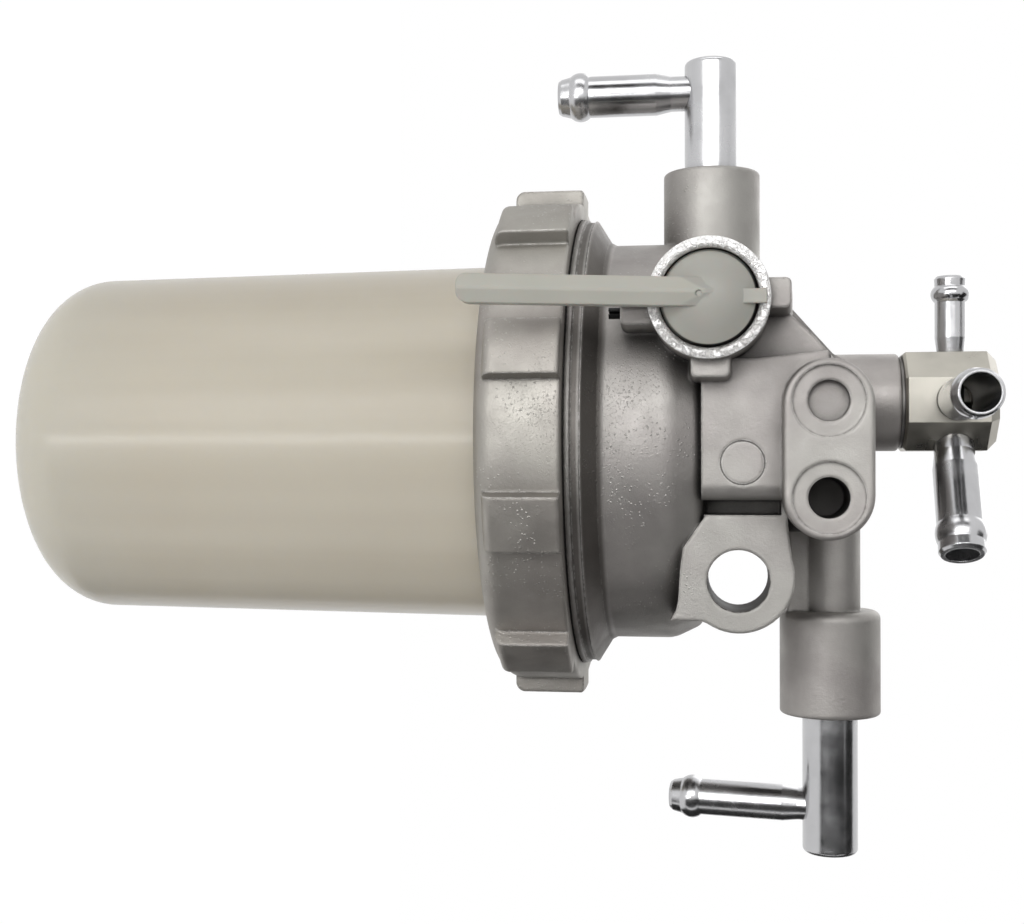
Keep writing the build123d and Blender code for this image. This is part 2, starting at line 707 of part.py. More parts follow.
with BuildPart() as rotor_seals:
    for groove in (rotor_inner_seal_depth, rotor_outer_seal_depth):
        with BuildSketch(cock_turned):
            with Locations((rotor_bore_r - seal_touch - seal_section_r, groove)):
                Circle(seal_section_r)
        revolve(axis=cock_axis)

# Cock lever: barrel, dome, arm and pointer
with BuildPart() as cock_lever:
    dome_r = (lever_dome_edge_r ** 2 + lever_dome_rise ** 2) / (2 * lever_dome_rise)
    dome_top = lever_dome_edge + lever_dome_rise
    lean = math.asin(lever_dome_edge_r / dome_r) / 2
    dome_mid = (dome_r * math.sin(lean), dome_top - dome_r + dome_r * math.cos(lean))
    with BuildSketch(cock_turned) as lever_section:
        with BuildLine():
            Polyline((0, dome_top), (0, lever_barrel_end), (lever_barrel_r, lever_barrel_end),
                     (lever_barrel_r, lever_dome_edge - 0.6), (lever_dome_edge_r, lever_dome_edge))
            ThreePointArc((lever_dome_edge_r, lever_dome_edge), dome_mid, (0, dome_top))
        make_face()
    revolve(axis=cock_axis)
    # The arm grows out of the dome's crown, clears the collar and rises to its tip
    half = lever_arm_width / 2
    arm_x = cock_x + lever_arm_offset
    arm_stations = (
        (cock_z + 1.0, lever_arm_under, dome_top - 1.1, dome_top - 0.1),
        (cock_z - lever_arm_shoulder, lever_arm_under, lever_arm_side, lever_arm_ridge),
        (cock_z - lever_arm_length, lever_arm_under + lever_arm_rise, lever_arm_side + lever_arm_rise,
         lever_arm_ridge + lever_arm_rise),
    )
    for z, under, edge, ridge in arm_stations:
        with BuildSketch(level(z)):
            outline([
                (arm_x - half, -under), (arm_x - half, -edge), (arm_x - 0.3, -ridge),
                (arm_x + 0.3, -ridge), (arm_x + half, -edge), (arm_x + half, -under),
            ])
    loft(ruled=True)
    tip_edges = cock_lever.faces().sort_by(Axis.Z)[0].edges().filter_by(Axis.Y)
    fillet(tip_edges, 1.6)
    with BuildSketch(front(pointer_top)):
        with Locations((cock_x, cock_z + pointer_length / 2)):
            Rectangle(pointer_width, pointer_length)
    extrude(amount=pointer_under - pointer_top)
    with BuildSketch(front(lever_arm_side)):
        with Locations((cock_x - 0.3, cock_z + lever_dimple_offset)):
            Circle(lever_dimple_r)
    extrude(amount=lever_dimple_depth - lever_arm_side, mode=Mode.SUBTRACT)
    # Groove for the pin, groove for the seal, slot for the rotor dog
    with BuildSketch(cock_turned):
        with Locations((pin_groove_r + 1, pin_depth)):
            Rectangle(2, pin_groove_width)
    revolve(axis=cock_axis, mode=Mode.SUBTRACT)
    with BuildSketch(cock_turned):
        with Locations((lever_barrel_r - seal_section_r, lever_seal_depth)):
            Rectangle(2 * seal_section_r + 0.05, 2 * seal_section_r + seal_groove_play)
    revolve(axis=cock_axis, mode=Mode.SUBTRACT)
    with BuildSketch(front(lever_barrel_end)):
        with Locations((cock_x, cock_z)):
            Rectangle(dog_width + 2 * dog_clearance, 2 * rotor_r)
    extrude(amount=1.5, mode=Mode.SUBTRACT)

with BuildPart() as lever_seal:
    with BuildSketch(cock_turned):
        with Locations((collar_bore_r - seal_touch - seal_section_r, lever_seal_depth)):
            Circle(seal_section_r)
    revolve(axis=cock_axis)

# Slotted retaining pin, its inner end in the lever's groove
with BuildPart() as cock_retaining_pin:
    with BuildSketch(level(cock_z - pin_outer_reach)):
        with Locations((pin_x, -pin_depth)):
            Circle(pin_r)
            Circle(pin_r - 0.4, mode=Mode.SUBTRACT)
            with Locations((0, -pin_r)):
                Rectangle(0.5, 1.4, mode=Mode.SUBTRACT)
    extrude(amount=pin_outer_reach - pin_groove_r - 0.2)

# Inlet stem and nipple
inlet_root = at(inlet_nipple_x, 0, top_port_z)
with BuildPart() as inlet_stem:
    with BuildSketch(side(inlet_stem_end_x)):
        with Locations((0, top_port_z)):
            Circle(stem_r)
    extrude(amount=top_boss_end_x + stem_seat - inlet_stem_end_x)
    fillet(inlet_stem.edges().group_by(Axis.X)[0], stem_end_round)
    with BuildSketch(side(inlet_nipple_x - stem_bore_r)):
        with Locations((0, top_port_z)):
            Circle(stem_bore_r)
    extrude(amount=top_boss_end_x + stem_seat - inlet_nipple_x + stem_bore_r, mode=Mode.SUBTRACT)
    with BuildSketch(level(top_port_z)):
        with Locations((inlet_nipple_x, 0)):
            Circle(inlet_nipple_root_r + nipple_clearance)
    extrude(amount=-2 * stem_r, mode=Mode.SUBTRACT)

nipple_start = stem_r - nipple_socket
with BuildPart() as inlet_nipple:
    with BuildSketch(along(at(inlet_nipple_x, 0, top_port_z - nipple_start), (0, 0, -1), (1, 0, 0))):
        nipple_outline(
            inlet_nipple_r, inlet_nipple_bead_r, inlet_nipple_mouth_r, inlet_nipple_bore_r, inlet_nipple_root_r,
            inlet_nipple_root, top_port_z - nipple_start - inlet_nipple_end_z, nipple_bead_setback)
    revolve(axis=Axis(at(inlet_nipple_x, 0, 0), (0, 0, -1)))

# Outlet stem and nipple
turn = math.radians(outlet_nipple_turn)
outlet_direction = (0, math.sin(turn), -math.cos(turn))
with BuildPart() as outlet_stem:
    with BuildSketch(side(low_boss_end_x - stem_seat)):
        with Locations((0, low_port_z)):
            Circle(stem_r)
    extrude(amount=outlet_stem_end_x - low_boss_end_x + stem_seat)
    fillet(outlet_stem.edges().group_by(Axis.X)[-1], stem_end_round)
    with BuildSketch(side(low_boss_end_x - stem_seat)):
        with Locations((0, low_port_z)):
            Circle(stem_bore_r)
    extrude(amount=outlet_nipple_x + stem_bore_r - low_boss_end_x + stem_seat, mode=Mode.SUBTRACT)
    with BuildSketch(Plane(origin=at(outlet_nipple_x, 0, low_port_z), x_dir=(1, 0, 0), z_dir=outlet_direction)):
        Circle(outlet_nipple_root_r + nipple_clearance)
    extrude(amount=2 * stem_r, mode=Mode.SUBTRACT)

with BuildPart() as outlet_nipple:
    outlet_start = Vector(*at(outlet_nipple_x, 0, low_port_z)) + Vector(*outlet_direction) * nipple_start
    with BuildSketch(along(outlet_start, outlet_direction, (1, 0, 0))):
        nipple_outline(
            outlet_nipple_r, outlet_nipple_bead_r, outlet_nipple_mouth_r, outlet_nipple_bore_r,
            outlet_nipple_root_r, outlet_nipple_root, outlet_nipple_length, nipple_bead_setback)
    revolve(axis=Axis(outlet_start, outlet_direction))

# Three-way joint: block, washer and three nipples
block_bottom_z = joint_boss_end_z + washer_thickness
with BuildPart() as joint_washer:
    with BuildSketch(level(joint_boss_end_z)):
        with Locations((joint_x, 0)):
            Circle(joint_boss_r - 0.7)
            Circle(joint_spigot_r + washer_clearance, mode=Mode.SUBTRACT)
    extrude(amount=washer_thickness)

lower_tilt = math.radians(joint_lower_tilt)
lower_direction = (math.cos(lower_tilt), -math.sin(lower_tilt), 0)
half_block = joint_block_size / 2
with BuildPart() as joint_block:
    with BuildSketch(level(block_bottom_z)) as octagon:
        with Locations((joint_x, 0)):
            Rectangle(joint_block_size, joint_block_size)
        chamfer(octagon.vertices(), joint_block_chamfer)
    extrude(amount=joint_block_top_z - block_bottom_z)
    chamfer(joint_block.edges().group_by(Axis.Z)[-1], joint_block_top_chamfer)
    chamfer(joint_block.edges().group_by(Axis.Z)[0], 0.5)
    with BuildSketch(level(block_bottom_z)):
        with Locations((joint_x, 0)):
            Circle(joint_spigot_r)
    extrude(amount=-(washer_thickness + joint_spigot_length))
    with BuildSketch(level(joint_boss_end_z - joint_spigot_length)):
        with Locations((joint_x, 0)):
            Circle(port_passage_r)
    extrude(amount=joint_nipple_z + 2.5 - joint_boss_end_z + joint_spigot_length, mode=Mode.SUBTRACT)
    with BuildSketch(front(0)):
        with Locations((joint_x, joint_nipple_z)):
            Circle(joint_front_root_r + nipple_clearance)
    extrude(amount=half_block + 1, mode=Mode.SUBTRACT)
    with BuildSketch(side(joint_x)):
        with Locations((0, joint_nipple_z)):
            Circle(joint_small_root_r + nipple_clearance)
    extrude(amount=-(half_block + 1), mode=Mode.SUBTRACT)
    with BuildSketch(Plane(origin=at(joint_x, 0, joint_nipple_z), x_dir=(0, 0, 1), z_dir=lower_direction)):
        Circle(joint_lower_root_r + nipple_clearance)
    extrude(amount=half_block + 6, mode=Mode.SUBTRACT)

with BuildPart() as joint_front_nipple:
    with BuildSketch(along(at(joint_x, joint_front_start, joint_nipple_z), (0, -1, 0), (1, 0, 0))):
        nipple_outline(
            joint_front_r, joint_front_bead_r, joint_front_mouth_r, joint_front_bore_r, joint_front_root_r,
            half_block - joint_front_start, joint_front_reach - joint_front_start, nipple_bead_setback)
    revolve(axis=Axis(at(joint_x, joint_front_start, joint_nipple_z), (0, -1, 0)))

with BuildPart() as joint_small_nipple:
    with BuildSketch(along(at(joint_x - joint_small_start, 0, joint_nipple_z), (-1, 0, 0), (0, 1, 0))):
        nipple_outline(
            joint_small_r, joint_small_bead_r, joint_small_mouth_r, joint_small_bore_r, joint_small_root_r,
            half_block - joint_small_start, joint_small_reach - joint_small_start, 0.8 * nipple_bead_setback)
    revolve(axis=Axis(at(joint_x - joint_small_start, 0, joint_nipple_z), (-1, 0, 0)))

with BuildPart() as joint_lower_nipple:
    lower_root = Vector(*at(joint_x, 0, joint_nipple_z)) + Vector(*lower_direction) * joint_lower_start
    with BuildSketch(along(lower_root, lower_direction, (0, 0, 1))):
        nipple_outline(
            joint_lower_r, joint_lower_bead_r, joint_lower_mouth_r, joint_lower_bore_r, joint_lower_root_r,
            half_block - joint_lower_start + 2, joint_lower_reach - joint_lower_start, nipple_bead_setback)
    revolve(axis=Axis(lower_root, lower_direction))

os.makedirs("parts", exist_ok=True)

head_casting.part.label = "head_casting"
export_step(head_casting.part, "parts/head_casting.step")
ring_nut.part.label = "ring_nut"
export_step(ring_nut.part, "parts/ring_nut.step")
bowl.part.label = "bowl"
export_step(bowl.part, "parts/bowl.step")
bowl_gasket.part.label = "bowl_gasket"
export_step(bowl_gasket.part, "parts/bowl_gasket.step")
element_top_cap.part.label = "element_top_cap"
export_step(element_top_cap.part, "parts/element_top_cap.step")
element_bottom_cap.part.label = "element_bottom_cap"
export_step(element_bottom_cap.part, "parts/element_bottom_cap.step")
element_media.part.label = "element_media"
export_step(element_media.part, "parts/element_media.step")
element_core.part.label = "element_core"
export_step(element_core.part, "parts/element_core.step")
element_grommet.part.label = "element_grommet"
export_step(element_grommet.part, "parts/element_grommet.step")
element_spring.part.label = "element_spring"
export_step(element_spring.part, "parts/element_spring.step")
cock_rotor.part.label = "cock_rotor"
export_step(cock_rotor.part, "parts/cock_rotor.step")
rotor_seals.part.label = "rotor_seals"
export_step(rotor_seals.part, "parts/rotor_seals.step")
cock_lever.part.label = "cock_lever"
export_step(cock_lever.part, "parts/cock_lever.step")
lever_seal.part.label = "lever_seal"
export_step(lever_seal.part, "parts/lever_seal.step")
cock_retaining_pin.part.label = "cock_retaining_pin"
export_step(cock_retaining_pin.part, "parts/cock_retaining_pin.step")
inlet_stem.part.label = "inlet_stem"
export_step(inlet_stem.part, "parts/inlet_stem.step")
inlet_nipple.part.label = "inlet_nipple"
export_step(inlet_nipple.part, "parts/inlet_nipple.step")
outlet_stem.part.label = "outlet_stem"
export_step(outlet_stem.part, "parts/outlet_stem.step")
outlet_nipple.part.label = "outlet_nipple"
export_step(outlet_nipple.part, "parts/outlet_nipple.step")
joint_block.part.label = "joint_block"
export_step(joint_block.part, "parts/joint_block.step")
joint_washer.part.label = "joint_washer"
export_step(joint_washer.part, "parts/joint_washer.step")
joint_front_nipple.part.label = "joint_front_nipple"
export_step(joint_front_nipple.part, "parts/joint_front_nipple.step")
joint_small_nipple.part.label = "joint_small_nipple"
export_step(joint_small_nipple.part, "parts/joint_small_nipple.step")
joint_lower_nipple.part.label = "joint_lower_nipple"
export_step(joint_lower_nipple.part, "parts/joint_lower_nipple.step")
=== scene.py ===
import math

import bpy
from mathutils import Matrix, Vector


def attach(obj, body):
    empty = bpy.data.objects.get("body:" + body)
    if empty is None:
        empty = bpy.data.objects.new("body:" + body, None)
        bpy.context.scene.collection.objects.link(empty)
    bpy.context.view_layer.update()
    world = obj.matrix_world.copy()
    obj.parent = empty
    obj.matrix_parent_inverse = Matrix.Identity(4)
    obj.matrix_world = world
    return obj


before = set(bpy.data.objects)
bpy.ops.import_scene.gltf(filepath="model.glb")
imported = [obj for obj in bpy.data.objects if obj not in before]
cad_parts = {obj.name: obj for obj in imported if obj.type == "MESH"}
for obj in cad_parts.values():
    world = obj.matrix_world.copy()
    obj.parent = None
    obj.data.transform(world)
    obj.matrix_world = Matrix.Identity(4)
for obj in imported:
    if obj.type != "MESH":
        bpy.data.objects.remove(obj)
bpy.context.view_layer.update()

# Places in metres, from the CAD: the axes of bowl and cock, the collar round the cock, the lug's bore
AXIS_X, AXIS_Y = -0.0253, 0.017
COCK_X, COCK_Z = AXIS_X - 0.023, -0.00495
COLLAR_FACE_Y = AXIS_Y - 0.046
COLLAR_INNER_R, COLLAR_OUTER_R = 0.0084, 0.0103
LUG_BORE_R = 0.0055
# Heights of the flange's cone and of the groove under it, and the radius outside which they are darker
CONE_BOTTOM_Z, CONE_TOP_Z = -0.0272, -0.0232
GROOVE_BOTTOM_Z, GROOVE_TOP_Z = -0.0289, -0.0274
CONE_GROOVE_DARK_R = 0.0386
# Pits and specks fade between these heights: the bell, flange and ring are coarser than what is above
COARSE_BOTTOM_Z, COARSE_TOP_Z = -0.009, -0.005
# Lever: radius of its dome, and the depths of the arm's underside and of the dome's foot
DOME_R = 0.0079
ARM_UNDERSIDE_Y = AXIS_Y - 0.0491
DOME_FOOT_Y = AXIS_Y - 0.0458
# Bowl: heights between which painted light, standing for light bounced up from below, lightens it to its
# foot
BOWL_FOOT_Z, BOWL_PLAIN_Z = -0.142, -0.105
# The floor lies well below the bowl
FLOOR_Z, FLOOR_SIZE = -0.75, 6.0

# Linear colours on the castings; the turned rim has a pair for its lit side and a pair for its side in
# painted shade
# Lighter colours: the specks, and the open edges, partly worn and partly a painted highlight
SPECK, WEAR_AND_HIGHLIGHT = (0.70, 0.68, 0.66), (0.74, 0.72, 0.70)
# A darker tone for the flange's cone and groove, and painted shade for the inside of the lug's bore
CONE_GROOVE_DARK, BORE_SHADE = (0.085, 0.076, 0.068), (0.075, 0.070, 0.065)
RIM_LIT = (0.68, 0.67, 0.66), (0.95, 0.94, 0.93)
RIM_SHADED = (0.42, 0.41, 0.40), (0.74, 0.73, 0.72)
GREENER = (0.93, 0.98, 0.95)    # what is left of each channel in the greenish patches


def principled(name, color, metallic=0.0, roughness=0.5, **sockets):
    """New material with its shader's sockets set; returns the material, its node tree and the shader."""
    mat = bpy.data.materials.new(name)
    mat.use_nodes = True
    shader = mat.node_tree.nodes["Principled BSDF"]
    shader.inputs["Base Color"].default_value = (*color, 1)
    shader.inputs["Metallic"].default_value = metallic
    shader.inputs["Roughness"].default_value = roughness
    for key, value in sockets.items():
        shader.inputs[key.replace("_", " ")].default_value = value
    return mat, mat.node_tree, shader


def darker(color, share):
    return tuple(c * share for c in color)


class Graph:
    """Short calls for the nodes that the materials share. Textures use object coordinates, in metres."""

    def __init__(self, tree):
        self.tree = tree
        self.coord = self.new("ShaderNodeTexCoord").outputs["Object"]

    def new(self, kind, **settings):
        node = self.tree.nodes.new(kind)
        for key, value in settings.items():
            setattr(node, key, value)
        return node

    def link(self, a, b):
        self.tree.links.new(a, b)

    def feed(self, socket, value):
        """Link a socket's value, or set a number or a colour."""
        if isinstance(value, (int, float)):
            socket.default_value = value
        elif isinstance(value, tuple):
            socket.default_value = (*value, 1)
        else:
            self.link(value, socket)

    def position(self):
        node = self.new("ShaderNodeSeparateXYZ")
        self.link(self.coord, node.inputs[0])
        return node.outputs

    def stretched(self, scale):
        node = self.new("ShaderNodeMapping")
        node.inputs["Scale"].default_value = scale
        self.link(self.coord, node.inputs["Vector"])
        return node.outputs[0]

    def noise(self, scale, detail=3.0, roughness=0.5, vector=None):
        node = self.new("ShaderNodeTexNoise")
        node.inputs["Scale"].default_value = scale
        node.inputs["Detail"].default_value = detail
        node.inputs["Roughness"].default_value = roughness
        self.link(vector or self.coord, node.inputs["Vector"])
        return node.outputs["Fac"]

    def cells(self, scale):
        node = self.new("ShaderNodeTexVoronoi", feature="F1")
        node.inputs["Scale"].default_value = scale
        self.link(self.coord, node.inputs["Vector"])
        return node.outputs["Distance"]

    def span(self, value, low, high, to_low=0.0, to_high=1.0, smooth=False):
        """Map low to high onto to_low to to_high, clamped."""
        node = self.new("ShaderNodeMapRange", interpolation_type="SMOOTHSTEP" if smooth else "LINEAR")
        node.inputs["From Min"].default_value = low
        node.inputs["From Max"].default_value = high
        node.inputs["To Min"].default_value = to_low
        node.inputs["To Max"].default_value = to_high
        self.link(value, node.inputs["Value"])
        return node.outputs[0]

    def band(self, value, start, full, fade, end):
        """1 from full to fade, 0 outside start and end."""
        return self.times(self.span(value, start, full), self.span(value, fade, end, 1.0, 0.0))

    def math(self, operation, a, b=None):
        node = self.new("ShaderNodeMath", operation=operation)
        self.feed(node.inputs[0], a)
        if b is not None:
            self.feed(node.inputs[1], b)
        return node.outputs[0]

    def times(self, a, b):
        return self.math("MULTIPLY", a, b)

    def blend(self, factor, a, b):
        """Number a where factor is 0, b where it is 1."""
        return self.math("ADD", self.times(self.math("SUBTRACT", 1.0, factor), a), self.times(factor, b))

    def distance(self, a, b):
        return self.math("SQRT", self.math("ADD", self.times(a, a), self.times(b, b)))

    def mix(self, factor, a, b, blend_type="MIX"):
        """Colour a where factor is 0, b (or a times b) where it is 1."""
        node = self.new("ShaderNodeMix", data_type="RGBA", blend_type=blend_type)
        for index, value in ((0, factor), (6, a), (7, b)):
            self.feed(node.inputs[index], value)
        return node.outputs[2]

    def bump(self, height, strength, distance, normal=None):
        node = self.new("ShaderNodeBump")
        node.inputs["Strength"].default_value = strength
        node.inputs["Distance"].default_value = distance
        self.link(height, node.inputs["Height"])
        if normal is not None:
            self.link(normal, node.inputs["Normal"])
        return node.outputs[0]

    def rounded(self, radius):
        node = self.new("ShaderNodeBevel", samples=6)
        node.inputs["Radius"].default_value = radius
        return node.outputs[0]

    def occlusion(self, distance):
        node = self.new("ShaderNodeAmbientOcclusion", samples=6)
        node.inputs["Distance"].default_value = distance
        return node.outputs["AO"]


def cast(name, light, dark, pits, machined=False):
    """Die-cast aluminium: mottled tone, pits and specks, painted shade in the corners, edges lighter from
    wear and a painted highlight.

    With machined, also what only the head has: a darker tone in the flange's cone and groove, painted shade
    in the bore of the lug and the turned rim of the collar round the cock, with painted shade on the rim's
    +x side.
    """
    mat, tree, shader = principled(name, light, metallic=0.9, roughness=0.5, Specular_IOR_Level=0.1)
    g = Graph(tree)
    x, y, z = g.position()

    mottle = g.span(g.noise(70, detail=4, roughness=0.62), 0.34, 0.68)
    color = g.mix(mottle, dark, light)
    tint = g.span(g.noise(34, detail=2), 0.42, 0.62)
    color = g.mix(g.times(tint, 0.5), color, tuple(c * k for c, k in zip(light, GREENER)))
    # Painted shade: darker where ambient occlusion finds corners, recesses and gaps between parts
    open_sky = g.occlusion(0.010)
    wide_shade = g.span(open_sky, 0.28, 0.90, 0.50, 1.0, smooth=True)
    deep_shade = g.span(open_sky, 0.10, 0.42, 0.2, 1.0)
    color = g.mix(1.0, color, g.times(wide_shade, deep_shade), blend_type="MULTIPLY")
    rough = g.span(g.noise(190), 0.3, 0.7, 0.46, 0.60)

    fine = g.noise(1500, detail=4, roughness=0.7)
    pit = g.math("SUBTRACT", 1.0, g.span(g.cells(2600), 0.06, 0.30))
    pitted = g.times(pit, g.span(g.noise(75), 0.44, 0.62))
    pitted = g.times(pitted, g.span(z, COARSE_BOTTOM_Z, COARSE_TOP_Z, 1.0, 0.15))
    height = g.math("SUBTRACT", g.times(fine, 0.45), g.times(pitted, pits))
    speck = g.times(g.span(g.cells(1250), 0.10, 0.26, 1.0, 0.0), g.span(g.noise(105), 0.48, 0.58))
    speck = g.times(speck, g.span(z, COARSE_BOTTOM_Z, COARSE_TOP_Z, 1.0, 0.1))
    color = g.mix(g.times(speck, 0.28), color, SPECK)
    height = g.math("ADD", height, g.times(speck, pits * 1.4))

    # An edge is where the rounded normal turns away from the true one
    turn = g.new("ShaderNodeVectorMath", operation="DOT_PRODUCT")
    g.link(g.rounded(0.0005), turn.inputs[0])
    g.link(g.new("ShaderNodeNewGeometry").outputs["True Normal"], turn.inputs[1])
    edge = g.times(g.span(turn.outputs["Value"], 0.97, 0.90), g.span(open_sky, 0.38, 0.66))
    # Open edges lighter: partly wear, partly a painted highlight
    wear_and_highlight = g.times(edge, g.span(g.noise(700, detail=4, roughness=0.7), 0.42, 0.58))

    if machined:
        from_axis = g.distance(g.math("SUBTRACT", x, AXIS_X), g.math("SUBTRACT", y, AXIS_Y))
        cone = g.band(z, CONE_BOTTOM_Z, CONE_BOTTOM_Z + 0.0006, CONE_TOP_Z - 0.0008, CONE_TOP_Z)
        groove = g.band(z, GROOVE_BOTTOM_Z, GROOVE_BOTTOM_Z + 0.0003, GROOVE_TOP_Z - 0.0003, GROOVE_TOP_Z)
        # Darker tone on the outer part of the flange's cone and the groove under it
        cone_groove_dark = g.times(g.math("MAXIMUM", cone, groove), g.span(from_axis, CONE_GROOVE_DARK_R, CONE_GROOVE_DARK_R + 0.0004))
        color = g.mix(g.times(cone_groove_dark, 0.74), color, CONE_GROOVE_DARK)

        # Painted shade on the wall of the lug's bore: dark and barely metallic
        bore = g.span(g.distance(x, z), LUG_BORE_R + 0.0001, LUG_BORE_R + 0.00002)
        color = g.mix(bore, color, BORE_SHADE)
        g.link(g.math("SUBTRACT", 0.9, g.times(bore, 0.8)), shader.inputs["Metallic"])

        dx = g.math("SUBTRACT", x, COCK_X)
        r = g.distance(dx, g.math("SUBTRACT", z, COCK_Z))
        on_rim = g.band(r, COLLAR_INNER_R - 0.00002, COLLAR_INNER_R + 0.00002,
                        COLLAR_OUTER_R, COLLAR_OUTER_R + 0.00006)
        rim = g.times(on_rim, g.span(y, COLLAR_FACE_Y + 0.0012, COLLAR_FACE_Y + 0.0008))
        turned = g.math("SINE", g.times(r, 26000.0))
        chips = g.span(g.noise(1100, detail=4, roughness=0.7), 0.40, 0.56)
        # Painted light on the turned rim: lit colours on its -x side, painted shade on its +x side
        shaded_side = g.span(dx, -0.007, 0.007)
        color = g.mix(rim, color, g.mix(shaded_side, g.mix(chips, *RIM_LIT), g.mix(chips, *RIM_SHADED)))
        rough = g.blend(rim, rough, 0.3)
        height = g.blend(rim, height, g.math("ADD", g.times(turned, 0.08), chips))

    color = g.mix(g.times(wear_and_highlight, 0.55), color, WEAR_AND_HIGHLIGHT)
    g.link(color, shader.inputs["Base Color"])
    g.link(rough, shader.inputs["Roughness"])
    g.link(g.bump(height, 0.55, 0.00022, g.rounded(0.0009)), shader.inputs["Normal"])
    return mat


def plated(name, color, roughness):
    """Plated metal, slightly clouded, with painted shade, near black, inside tubes and deep hollows."""
    mat, tree, shader = principled(name, color, metallic=1.0, roughness=roughness, Specular_IOR_Level=0.05)
    g = Graph(tree)
    drawn = g.noise(900, detail=3, roughness=0.6)
    cloud = g.noise(120, detail=3, roughness=0.6)
    # Painted shade: near black and barely metallic where ambient occlusion finds a hollow
    outside = g.span(g.occlusion(0.006), 0.22, 0.56)
    tone = g.mix(g.span(cloud, 0.35, 0.7), darker(color, 0.86), color)
    g.link(g.mix(outside, darker(color, 0.04), tone), shader.inputs["Base Color"])
    g.link(g.span(outside, 0.0, 1.0, 0.1, 1.0), shader.inputs["Metallic"])
    g.link(g.span(cloud, 0.3, 0.7, roughness * 0.8, roughness * 1.6), shader.inputs["Roughness"])
    g.link(g.bump(g.math("ADD", drawn, cloud), 0.12, 0.0001, g.rounded(0.00025)), shader.inputs["Normal"])
    return mat


def plastic(name, light, dark, roughness, grain=0.15, **sockets):
    """Moulded plastic or rubber: faint clouds, a fine grain and softened edges."""
    mat, tree, shader = principled(name, light, 0.0, roughness, **sockets)
    g = Graph(tree)
    g.link(g.mix(g.span(g.noise(55), 0.35, 0.65), dark, light), shader.inputs["Base Color"])
    g.link(g.span(g.noise(240), 0.3, 0.7, roughness * 0.9, roughness * 1.15), shader.inputs["Roughness"])
    grains = g.noise(1300, detail=3, roughness=0.6)
    g.link(g.bump(grains, grain, 0.0001, g.rounded(0.0004)), shader.inputs["Normal"])
    return mat


def moulded_lever():
    """Lever plastic with painted shade on its dome, and a painted shadow where the dome drops into the
    collar.
    """
    mat = plastic("lever_plastic", (0.42, 0.415, 0.37), (0.385, 0.38, 0.335), 0.45,
                  Subsurface_Weight=0.15, Subsurface_Scale=0.003)
    shader = mat.node_tree.nodes["Principled BSDF"]
    color = shader.inputs["Base Color"].links[0].from_socket
    g = Graph(mat.node_tree)
    x, y, z = g.position()
    dx = g.math("SUBTRACT", x, COCK_X)
    dz = g.math("SUBTRACT", z, COCK_Z)
    r = g.distance(dx, dz)
    behind_arm = g.span(y, ARM_UNDERSIDE_Y - 0.0002, ARM_UNDERSIDE_Y)
    # Painted shade: the dome, behind the arm's underside, darker than the arm
    dome = g.times(behind_arm, g.span(r, DOME_R, 0.0060, 0.55, 0.95))
    color = g.mix(dome, color, (0.335, 0.330, 0.300))
    # Painted shadow in the gap round the dome's foot, deepest towards +x and +z
    low_on_dome = g.span(y, DOME_FOOT_Y - 0.0002, DOME_FOOT_Y)
    rim = g.times(g.span(r, DOME_R - 0.0002, DOME_R - 0.00002), low_on_dome)
    shadow_side = g.span(g.math("ADD", dx, dz), -0.008, 0.006, 0.45, 1.0)
    color = g.mix(g.times(rim, shadow_side), color, (0.012, 0.011, 0.010))
    g.link(color, shader.inputs["Base Color"])
    return mat


def milky():
    """Moulded translucent bowl: milky body, faint draw lines along it, and painted light making it a little
    lighter to the foot.
    """
    mat, tree, shader = principled(
        "bowl_milky", (0.58, 0.53, 0.45), 0.0, 0.30, Subsurface_Weight=0.55, Subsurface_Scale=0.012,
        Subsurface_Radius=(1.0, 0.9, 0.7), Transmission_Weight=0.0, Specular_IOR_Level=0.10,
        Coat_Weight=0.30, Coat_Roughness=0.18)
    g = Graph(tree)
    # Painted light: lighter toward the foot, standing for light bounced up onto it
    foot = g.span(g.position()["Z"], BOWL_FOOT_Z, BOWL_PLAIN_Z, 1.0, 0.0, smooth=True)
    cloud = g.span(g.noise(18), 0.35, 0.65)
    streak = g.span(g.noise(1.0, detail=3, roughness=0.5, vector=g.stretched((95, 95, 1.6))), 0.36, 0.64)
    shade = g.math("ADD", g.times(cloud, 0.45), g.times(streak, 0.55))
    body = g.mix(shade, (0.494, 0.444, 0.360), (0.546, 0.498, 0.410))
    g.link(g.mix(foot, body, (0.520, 0.492, 0.420)), shader.inputs["Base Color"])
    lines = g.noise(1.0, detail=3, roughness=0.55, vector=g.stretched((260, 260, 5)))
    g.link(g.bump(lines, 0.05, 0.0004), shader.inputs["Normal"])
    return mat


def paper():
    """Filter paper with fibres across the pleats."""
    mat, tree, shader = principled("element_paper", (0.72, 0.64, 0.45), 0.0, 0.85)
    g = Graph(tree)
    fibre = g.noise(1.0, detail=4, roughness=0.7, vector=g.stretched((900, 900, 260)))
    g.link(g.mix(fibre, (0.60, 0.52, 0.36), (0.78, 0.70, 0.52)), shader.inputs["Base Color"])
    g.link(g.bump(fibre, 0.4, 0.0002), shader.inputs["Normal"])
    return mat


